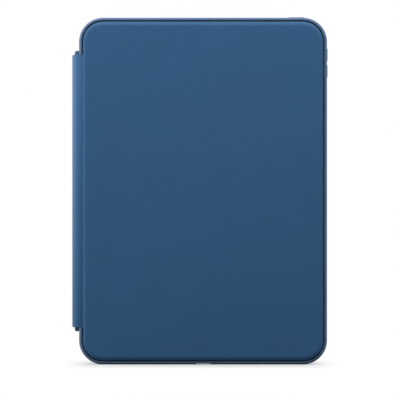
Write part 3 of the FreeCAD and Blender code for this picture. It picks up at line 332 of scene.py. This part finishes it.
def spread(tree, factor, source, target, interpolation="LINEAR"):
    """The factor's range between two source values, spread between two target values."""
    node = tree.nodes.new("ShaderNodeMapRange")
    node.interpolation_type = interpolation
    node.inputs["From Min"].default_value, node.inputs["From Max"].default_value = source
    node.inputs["To Min"].default_value, node.inputs["To Max"].default_value = target
    tree.links.new(factor, node.inputs["Value"])
    return node.outputs["Result"]


def show_mix(tree, share, first, second, output):
    """Links two shaders, mixed by a share of the second, to an output node."""
    mix = tree.nodes.new("ShaderNodeMixShader")
    tree.links.new(share, mix.inputs["Fac"])
    tree.links.new(first, mix.inputs[1])
    tree.links.new(second, mix.inputs[2])
    tree.links.new(mix.outputs["Shader"], tree.nodes[output].inputs["Surface"])


# Procedural finishes

# Stretch of a texture along each axis: none, brush marks along one axis, and a brushed nap
EVEN = (1, 1, 1)
BRUSH_STRETCH = 18
ALONG_X = (BRUSH_STRETCH, 1, 1)
ALONG_Z = (1, 1, BRUSH_STRETCH)
NAP_STRETCH = (1, 1, 2.5)
# Most of a noise lies between these values
NOISE_RANGE = (0.25, 0.75)
# Scale at which a wave texture repeats once in each unit
WAVE_SCALE = math.pi / 10


class Finish:
    """A material of one shader, with textures in the object's own metres."""

    def __init__(self, name, specular=0.5, metallic=0.0):
        self.material = bpy.data.materials.new(name + "_finish")
        self.material.use_nodes = True
        self.tree = self.material.node_tree
        self.nodes = self.tree.nodes
        self.links = self.tree.links
        self.shader = self.nodes["Principled BSDF"]
        self.set("Specular IOR Level", specular)
        self.set("Metallic", metallic)
        self.place = self.nodes.new("ShaderNodeTexCoord").outputs["Object"]
        self.normal = None

    def set(self, socket, value):
        """Sets a value that is the same all over."""
        self.shader.inputs[socket].default_value = value

    def scaled(self, size, stretch=EVEN):
        """Coordinates in units of a size, longer along the axes with a larger stretch."""
        mapping = self.nodes.new("ShaderNodeMapping")
        mapping.inputs["Scale"].default_value = [1 / (size * share) for share in stretch]
        self.links.new(self.place, mapping.inputs["Vector"])
        return mapping.outputs["Vector"]

    def noise(self, size, detail=2.0, stretch=EVEN):
        """Soft noise with marks of about that size."""
        node = self.nodes.new("ShaderNodeTexNoise")
        node.inputs["Scale"].default_value = 1.0
        node.inputs["Detail"].default_value = detail
        self.links.new(self.scaled(size, stretch), node.inputs["Vector"])
        return node.outputs["Fac"]

    def pebbles(self, size):
        """Rounded cells of about that size."""
        node = self.nodes.new("ShaderNodeTexVoronoi")
        node.feature = "SMOOTH_F1"
        node.inputs["Scale"].default_value = 1.0
        self.links.new(self.scaled(size), node.inputs["Vector"])
        return node.outputs["Distance"]

    def waves(self, pitch, direction, distortion):
        """Parallel lines of that pitch across a direction."""
        node = self.nodes.new("ShaderNodeTexWave")
        node.bands_direction = direction
        node.inputs["Scale"].default_value = WAVE_SCALE
        node.inputs["Distortion"].default_value = distortion
        self.links.new(self.scaled(pitch), node.inputs["Vector"])
        return node.outputs["Fac"]

    def spread(self, factor, low=0.0, high=1.0, source=NOISE_RANGE):
        """The factor's range between two source values, spread from low to high."""
        return spread(self.tree, factor, source, (low, high))

    def colour(self, factor, first, second):
        """Base colour that goes from first to second with the factor."""
        node = self.nodes.new("ShaderNodeMix")
        node.data_type = "RGBA"
        node.inputs["A"].default_value = (*first, 1)
        node.inputs["B"].default_value = (*second, 1)
        self.links.new(factor, node.inputs["Factor"])
        self.links.new(node.outputs["Result"], self.shader.inputs["Base Color"])

    def rough(self, factor, low, high):
        """Roughness that goes from low to high with the factor."""
        self.links.new(self.spread(factor, low, high), self.shader.inputs["Roughness"])

    def bump(self, height, depth, strength):
        """Relief of that depth, on top of any relief before it."""
        node = self.nodes.new("ShaderNodeBump")
        node.inputs["Distance"].default_value = depth
        node.inputs["Strength"].default_value = strength
        self.links.new(height, node.inputs["Height"])
        if self.normal is not None:
            self.links.new(self.normal, node.inputs["Normal"])
        self.normal = node.outputs["Normal"]
        self.links.new(self.normal, self.shader.inputs["Normal"])


def shades(colour, dark=1.0, light=1.0):
    """A darker and a lighter shade of a colour, as shares of it."""
    return [[part * share for part in colour] for share in (dark, light)]


def moulded(name, colour, rough, grain=0.4 * MM, specular=0.4):
    """Moulded plastic or rubber: even colour with slight clouds, and a fine spark-eroded grain."""
    finish = Finish(name, specular)
    clouds = finish.spread(finish.noise(size=35 * MM))
    finish.colour(clouds, *shades(colour, dark=0.92, light=1.08))
    grains = finish.noise(size=grain, detail=3.0)
    finish.rough(grains, *rough)
    finish.bump(grains, depth=0.03 * MM, strength=0.35)
    finish.bump(finish.pebbles(size=2.5 * grain), depth=0.02 * MM, strength=0.25)
    return finish.material


def coated_skin(name, colour):
    """Soft-touch coated skin: fine pores, faint clouds and a thin sheen."""
    finish = Finish(name, specular=0.2)
    clouds = finish.spread(finish.noise(size=28 * MM, detail=3.0))
    finish.colour(clouds, *shades(colour, dark=0.96, light=1.04))
    finish.rough(finish.noise(size=0.25 * MM), low=0.5, high=0.62)
    finish.bump(finish.pebbles(size=0.45 * MM), depth=0.03 * MM, strength=0.3)
    finish.bump(finish.noise(size=0.15 * MM), depth=0.015 * MM, strength=0.3)
    finish.set("Sheen Weight", 0.06)
    finish.set("Sheen Roughness", 0.45)
    return finish.material


def brushed_metal(name, colour, along, rough=(0.25, 0.4)):
    """Metal with brush marks along one direction."""
    finish = Finish(name, metallic=1.0)
    marks = finish.noise(size=0.12 * MM, detail=4.0, stretch=along)
    finish.colour(marks, *shades(colour, dark=0.86))
    finish.rough(marks, *rough)
    finish.bump(marks, depth=0.008 * MM, strength=0.3)
    return finish.material


def microfibre(name, colour):
    """Napped lining fabric: short fibres brushed in patches, with a soft sheen."""
    finish = Finish(name, specular=0.15)
    nap = finish.noise(size=0.3 * MM, detail=5.0, stretch=NAP_STRETCH)
    patches = finish.spread(finish.noise(size=22 * MM, detail=3.0), low=0.8, high=1.25)
    brushed = calculated(finish.tree, "MULTIPLY", nap, patches)
    finish.colour(finish.spread(brushed), *shades(colour, dark=0.7, light=1.25))
    finish.rough(nap, low=0.85, high=0.98)
    finish.bump(nap, depth=0.12 * MM, strength=0.6)
    finish.set("Sheen Weight", 0.35)
    finish.set("Sheen Roughness", 0.5)
    finish.set("Sheen Tint", (*colour, 1))
    return finish.material


def circuit_board(name, mask, copper):
    """Circuit board: solder mask with the faint lines of its tracks."""
    finish = Finish(name)
    across = finish.waves(pitch=0.158 * MM, direction="X", distortion=1.5)
    along = finish.waves(pitch=0.207 * MM, direction="Z", distortion=1.5)
    tracks = finish.spread(calculated(finish.tree, "MAXIMUM", across, along), source=(0.86, 0.92))
    finish.colour(tracks, mask, copper)
    finish.rough(finish.noise(size=0.5 * MM), low=0.25, high=0.4)
    finish.bump(tracks, depth=0.03 * MM, strength=0.5)
    return finish.material


def printed_film(name, colour):
    """Printed film: smooth, with faint printed lines and slight ripples."""
    finish = Finish(name)
    waves = finish.waves(pitch=0.237 * MM, direction="Z", distortion=0.4)
    finish.colour(finish.spread(waves, source=(0.8, 0.9)), *shades(colour, light=1.35))
    finish.rough(finish.noise(size=3 * MM), low=0.2, high=0.32)
    finish.bump(finish.noise(size=9 * MM), depth=0.05 * MM, strength=0.3)
    return finish.material


def printed_ink(name, colour):
    """Pad-printed ink: matt, slightly uneven in its cover."""
    finish = Finish(name, specular=0.3)
    cover = finish.noise(size=0.6 * MM, detail=4.0)
    finish.colour(cover, *shades(colour, dark=0.88))
    finish.rough(cover, low=0.5, high=0.65)
    finish.bump(cover, depth=0.01 * MM, strength=0.3)
    return finish.material


def satin_glass(name, colour):
    """Touch surface: fine satin coat with slight haze."""
    finish = Finish(name, specular=0.45)
    haze = finish.spread(finish.noise(size=18 * MM))
    finish.colour(haze, *shades(colour, dark=0.96, light=1.05))
    satin = finish.noise(size=0.2 * MM, detail=3.0)
    finish.rough(satin, low=0.3, high=0.4)
    finish.bump(satin, depth=0.006 * MM, strength=0.3)
    return finish.material


finishes = {
    "skin_blue": coated_skin("skin_blue", (0.0148, 0.062, 0.14)),
    "shell_rubber": moulded("shell_rubber", (0.055, 0.092, 0.16), rough=(0.62, 0.74), specular=0.12),
    "flap_rubber": moulded("flap_rubber", (0.055, 0.09, 0.156), rough=(0.62, 0.74), specular=0.12),
    "panel_plastic": moulded("panel_plastic", (0.024, 0.075, 0.155), rough=(0.5, 0.62), specular=0.3),
    "lining_fabric": microfibre("lining_fabric", (0.035, 0.085, 0.16)),
    "trim_dark": moulded("trim_dark", (0.012, 0.022, 0.038), rough=(0.3, 0.4), grain=0.2 * MM),
    "rail_plastic": moulded("rail_plastic", (0.05, 0.088, 0.152), rough=(0.42, 0.52), specular=0.2),
    "magnet_nickel": brushed_metal("magnet_nickel", (0.72, 0.7, 0.66), ALONG_Z, rough=(0.18, 0.3)),
    "contact_gold": brushed_metal("contact_gold", (0.9, 0.66, 0.3), ALONG_X, rough=(0.18, 0.3)),
    "hinge_steel": brushed_metal("hinge_steel", (0.13, 0.14, 0.16), ALONG_Z),
    "stand_painted": moulded("stand_painted", (0.026, 0.08, 0.165), rough=(0.42, 0.5), grain=0.7 * MM),
    "stiffener_aluminium": brushed_metal("stiffener_aluminium", (0.78, 0.79, 0.8), ALONG_Z),
    "deck_plastic": moulded("deck_plastic", (0.028, 0.06, 0.108), rough=(0.5, 0.6), grain=0.3 * MM),
    "membrane_film": printed_film("membrane_film", (0.32, 0.36, 0.4)),
    "dome_rubber": moulded("dome_rubber", (0.55, 0.56, 0.56), rough=(0.4, 0.5), grain=0.5 * MM),
    "board_green": circuit_board("board_green", mask=(0.012, 0.09, 0.035), copper=(0.05, 0.17, 0.07)),
    "trackpad_film": satin_glass("trackpad_film", (0.03, 0.075, 0.145)),
    "key_plastic": moulded("key_plastic", (0.012, 0.02, 0.034), rough=(0.42, 0.52), grain=0.18 * MM),
}
legend_ink = printed_ink("legend_ink", (0.62, 0.66, 0.7))


def paint(piece, slot):
    """Gives a piece the finish of one of the record's material slots."""
    piece.data.materials.clear()
    piece.data.materials.append(finishes[slot])


def dress_nodes():
    """Every solid takes the finish of its slot."""
    for part in frame["record"]["subparts"]:
        for place in frame["nodes"][part["node"]].material_slots:
            place.material = finishes[part["material_slot"]]


# Lid panel and spine skin

def lid_edges():
    """The lid's outline, its rear level and its face level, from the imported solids."""
    low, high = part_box("keyboard_deck")
    return low, high, -low.y, -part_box("lid_cover")[0].y


def lid_profile(rear, shoulder, face):
    """Section of the panel's edge as (inset, depth): from the tray's inside over its rear edge,
    and up the outside round the shoulder and the bevel to the face."""
    slope = math.atan2(LID_BEVEL_DROP, LID_BEVEL_WIDTH)
    profile = [(LID_WALL, face - LID_FACE), (LID_WALL, rear)]
    profile += [(LID_REAR_EDGE, rear), (0, rear + LID_REAR_EDGE)]
    bevel_angle = 90 + math.degrees(slope)
    profile += arc((LID_EDGE, shoulder), (LID_EDGE, LID_EDGE), 180, bevel_angle, LID_EDGE_STEPS)
    profile.append((LID_BEVEL_WIDTH - LID_CREASE, face - LID_CREASE * math.tan(slope)))
    profile += [(LID_BEVEL_WIDTH + LID_CREASE, face), (LID_BEVEL_WIDTH + LID_WALL, face)]
    return profile


def make_lid_panel():
    """Panel of the lid: a shallow tray with a soft bevel round its face, smaller on the left."""
    low, high, rear, face = lid_edges()
    shoulder = face - LID_BEVEL_DROP - LID_EDGE
    loops = []
    for inset, depth in lid_profile(rear, shoulder, face):
        loop = []
        for x, z in rounded_loop(low, high, LID_CORNER, inset):
            share = 1
            if depth > shoulder:
                share = LEFT_BEVEL + (1 - LEFT_BEVEL) * min((x - low.x) / LID_CORNER, 1)
            loop.append((x - inset * (1 - share), (face - depth) * share - face, z))
        loops.append(loop)
    panel = add_object("lid_panel", loft("lid_panel", loops))
    paint(panel, "skin_blue")
    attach(panel, "lid")
    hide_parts("lid_cover")


def make_front_skin():
    """Soft skin from the spine's wall over the front fold to its end tucked into the lid's edge."""
    lid_low, _, _, face = lid_edges()
    low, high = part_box("spine_skin")
    top = face - STRIP_INSET
    turn = top - FOLD_RISE
    left = low.x - SKIN_PROUD
    outer = [(left, 0.0), (left, turn / 2)]
    outer += arc((lid_low.x, turn), (lid_low.x - left, FOLD_RISE), 180, 90, FRONT_FOLD_STEPS)
    outer.append((lid_low.x + STRIP_TUCK, top))
    skin = swept_skin("spine_front_skin", outer, offset(outer, SKIN, STRIP), low.z, high.z)
    paint(skin, "skin_blue")
    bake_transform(skin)
    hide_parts("spine_skin")


def make_rear_skin():
    """Soft skin from its bonded end on the back over the rear fold to the spine's wall."""
    low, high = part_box("spine_skin")
    strip_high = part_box("rear_hinge_strip")[1]
    end = strip_high.x
    back = -strip_high.y
    turn = back + FOLD_RISE
    left = low.x - SKIN_PROUD
    apex = left + REAR_FOLD
    outer = [(end, back + BONDED_EDGE), (end - BONDED_EDGE, back)]
    outer += [(end - (end - apex) * step / BONDED_STEPS, back) for step in range(1, BONDED_STEPS)]
    outer += arc((apex, turn), (REAR_FOLD, FOLD_RISE), 270, 180, REAR_FOLD_STEPS)
    outer += [(left, turn / 2), (left, 0.0)]
    skin = swept_skin("spine_rear_skin", outer, offset(outer, SKIN, SKIN), low.z, high.z)
    paint(skin, "skin_blue")
    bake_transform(skin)
    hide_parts("rear_hinge_strip", "spine_skin")


# Lining of the tablet bay

def make_bay_lining():
    """Napped sheet laid on the bay's floor, cut out round the camera and the connector."""
    low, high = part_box("bay_lining")
    outline = rounded_loop(low, high, LINING_CORNER, 0)
    cut_outs = [
        rounded_loop(*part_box(node), corner, -LINING_PLAY)
        for node, corner in (("camera_ring", CAMERA_CORNER), ("tablet_connector", CONNECTOR_CORNER))
    ]
    lining = cut_sheet("bay_lining_sheet", [outline] + cut_outs, low.y, high.y)
    paint(lining, "lining_fabric")
    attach(lining, "shell")
    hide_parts("bay_lining")
    area_of(outline) - sum(area_of(cut) for cut in cut_outs)


# Printing on the keys

LEGENDS = {
    "function_keys": ["esc"] + ["F%d" % number for number in range(1, 13)] + ["lock"],
    "number_keys": list("`1234567890-=") + ["delete"],
    "top_letter_keys": ["tab"] + list("QWERTYUIOP[]\\"),
    "home_letter_keys": ["caps lock"] + list("ASDFGHJKL;'") + ["return"],
    "lower_letter_keys": ["shift"] + list("ZXCVBNM,./") + ["shift"],
    "bottom_keys": ["fn", "ctrl", "menu", "alt", "alt", "left", "up", "down", "right"],
}
ARROW_TURNS = {"right": 0, "up": 90, "left": 180, "down": 270}
HOMING_KEYS = ("F", "J")
# A key's text runs towards -Z and stands up towards -X, seen from +Y
KEY_TURN = Matrix(((0, -1, 0, 0), (0, 0, 1, 0), (-1, 0, 0, 0), (0, 0, 0, 1)))


def legend_text(words):
    """Printed letter or word, centred on its own origin."""
    text = bpy.data.curves.new("legend", "FONT")
    text.body = words
    text.size = LETTER if len(words) == 1 else WORD
    text.align_x = "CENTER"
    text.align_y = "CENTER"
    text.resolution_u = LETTER_STEPS
    text.extrude = INK
    return mesh_of("legend", text)


def arrow(turn):
    """Printed triangle that points along an angle in degrees."""
    angles = [math.radians(turn + corner) for corner in (0, 120, 240)]
    return prism([(ARROW * math.cos(angle), ARROW * math.sin(angle)) for angle in angles], INK)


def key_legend(words, low, high, middle):
    """Printing on one key: in its middle, or a word in the lower outer corner of a tall key."""
    mesh = arrow(ARROW_TURNS[words]) if words in ARROW_TURNS else legend_text(words)
    place = Vector(((low.x + high.x) / 2, high.y, (low.z + high.z) / 2))
    is_tall = high.x - low.x > TALL_KEY
    if len(words) > 1 and is_tall and words not in ARROW_TURNS:
        half = max(vert.co.x for vert in mesh.vertices)
        place.x = high.x - WORD_MARGIN - WORD / 2
        place.z = high.z - WORD_MARGIN - half if place.z > middle else low.z + WORD_MARGIN + half
    mesh.transform(Matrix.Translation(place) @ KEY_TURN)
    return mesh


def homing_bar(low, high):
    """Raised bar that the forefingers find their keys by."""
    length, width, rise = HOMING_BAR
    corners = ((-1, -1), (1, -1), (1, 1), (-1, 1))
    mesh = prism([(length / 2 * across, width / 2 * up) for across, up in corners], rise)
    place = Vector((high.x - WORD_MARGIN, high.y, (low.z + high.z) / 2))
    mesh.transform(Matrix.Translation(place) @ KEY_TURN)
    return mesh


def make_legends(row):
    """Printing on a row of keys, which moves with the row."""
    keys = sorted(islands(frame["nodes"][row].data), key=lambda box: -box[0].z)
    deck_low, deck_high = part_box("keyboard_deck")
    shape = bmesh.new()
    for words, (low, high) in zip(LEGENDS[row], keys):
        shape.from_mesh(key_legend(words, low, high, (deck_low.z + deck_high.z) / 2))
        if words in HOMING_KEYS:
            shape.from_mesh(homing_bar(low, high))
    legends = add_object(row + "_legends", finish_mesh(row + "_legends", shape))
    legends.data.materials.append(legend_ink)
    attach(legends, row)


# Studio: floor, light and camera

AMBIENT = 0.08
WHITE = (1, 1, 1, 1)
FLOOR_RADIUS = 6.0
FLOOR_SIDES = 64
FLOOR_ROUGHNESS = 0.9
# Tone of the floor in the light that it throws back, and as it is seen
FLOOR_TONES = (0.07, 0.335)
# Distances from the middle at which the floor starts to fade to white and is white
SHADOW_FADE = {"X": (0.07, 0.105), "Y": (0.06, 0.15)}
CASE_MIDDLE = (0, 0, 0.127)
# Soft area lights: place, target, the two sides, and power in watts
LIGHTS = {
    "overhead": ((0, -0.4, 0.74), (0, -0.3, 0), (1.2, 0.7), 13.2),
    "rear_overhead": ((0, 0.25, 0.8), (0, 0.1, 0), (1.2, 0.5), 8.5),
    "left_fill": ((-1.0, -0.11, 0.3), CASE_MIDDLE, (0.5, 1.0), 22.5),
    "right_fill": ((1.0, -0.08, 0.3), CASE_MIDDLE, (0.5, 1.0), 8.0),
}


def seen_rays(tree):
    """1 for rays from the camera and for reflected and refracted ones."""
    path = tree.nodes.new("ShaderNodeLightPath")
    total = path.outputs["Is Camera Ray"]
    for ray in ("Is Glossy Ray", "Is Transmission Ray"):
        total = calculated(tree, "MAXIMUM", total, path.outputs[ray])
    return total


def make_world():
    """White to the eye and in reflections, with a softer ambient light."""
    world = bpy.data.worlds.new("studio")
    bpy.context.scene.world = world
    world.use_nodes = True
    tree = world.node_tree
    ambient = tree.nodes["Background"]
    ambient.inputs["Color"].default_value = WHITE
    ambient.inputs["Strength"].default_value = AMBIENT
    white = tree.nodes.new("ShaderNodeBackground")
    white.inputs["Color"].default_value = WHITE
    show_mix(
        tree, seen_rays(tree), ambient.outputs["Background"], white.outputs["Background"], "World Output"
    )


def shadow_share(tree):
    """1 on the floor under and near the case, falling to 0 outside."""
    coordinates = tree.nodes.new("ShaderNodeTexCoord")
    apart = tree.nodes.new("ShaderNodeSeparateXYZ")
    tree.links.new(coordinates.outputs["Object"], apart.inputs["Vector"])
    shares = []
    for axis, fade in SHADOW_FADE.items():
        distance = calculated(tree, "ABSOLUTE", apart.outputs[axis])
        shares.append(spread(tree, distance, fade, (1, 0), "SMOOTHSTEP"))
    return calculated(tree, "MULTIPLY", *shares)


def floor_white():
    """Matt floor that keeps the shadow near the case, and is plain white to the eye further out."""
    material = bpy.data.materials.new("floor_white")
    material.use_nodes = True
    tree = material.node_tree
    seen = seen_rays(tree)
    matt = tree.nodes["Principled BSDF"]
    matt.inputs["Roughness"].default_value = FLOOR_ROUGHNESS
    matt.inputs["Specular IOR Level"].default_value = 0.0
    tree.links.new(spread(tree, seen, (0, 1), FLOOR_TONES), matt.inputs["Base Color"])
    white = tree.nodes.new("ShaderNodeEmission")
    outside = calculated(tree, "SUBTRACT", 1, shadow_share(tree))
    share = calculated(tree, "MULTIPLY", outside, seen)
    show_mix(tree, share, matt.outputs["BSDF"], white.outputs["Emission"], "Material Output")
    return material


def make_floor():
    """Wide round floor under the case."""
    shape = bmesh.new()
    bmesh.ops.create_circle(shape, cap_ends=True, radius=FLOOR_RADIUS, segments=FLOOR_SIDES)
    floor = add_object("floor", finish_mesh("floor", shape))
    floor.data.materials.append(floor_white())
    floor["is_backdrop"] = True


def add_softbox(name, place, target, sides, power):
    """Soft area light at a place, turned to a target."""
    light = bpy.data.lights.new(name, "AREA")
    light.shape = "RECTANGLE"
    light.size, light.size_y = sides
    light.energy = power
    lamp = bpy.data.objects.new(name, light)
    lamp.location = place
    lamp.rotation_euler = (Vector(target) - Vector(place)).to_track_quat("-Z", "Y").to_euler()
    bpy.context.scene.collection.objects.link(lamp)


def make_camera():
    """Long lens straight at the front, as in the photograph."""
    camera = bpy.data.cameras.new("camera")
    camera.sensor_width = SENSOR_WIDTH
    camera.lens = SENSOR_WIDTH * VIEW_DISTANCE / VIEW_WIDTH
    camera.clip_end = VIEW_FAR
    view = bpy.data.objects.new("camera", camera)
    view.location = (VIEW_ACROSS, -VIEW_DISTANCE, VIEW_HEIGHT)
    view.rotation_euler = (math.radians(90), 0, 0)
    bpy.context.scene.collection.objects.link(view)
    bpy.context.scene.camera = view


dress_nodes()
make_lid_panel()
make_front_skin()
make_rear_skin()
make_bay_lining()
for key_row in LEGENDS:
    make_legends(key_row)

make_world()
make_floor()
for light_name, settings in LIGHTS.items():
    add_softbox(light_name, *settings)
make_camera()
bpy.context.scene.view_settings.view_transform = "Standard"

boxes = {"cad": cad_box, "visual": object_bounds()}
{name: [list(corner) for corner in corners] for name, corners in boxes.items()}
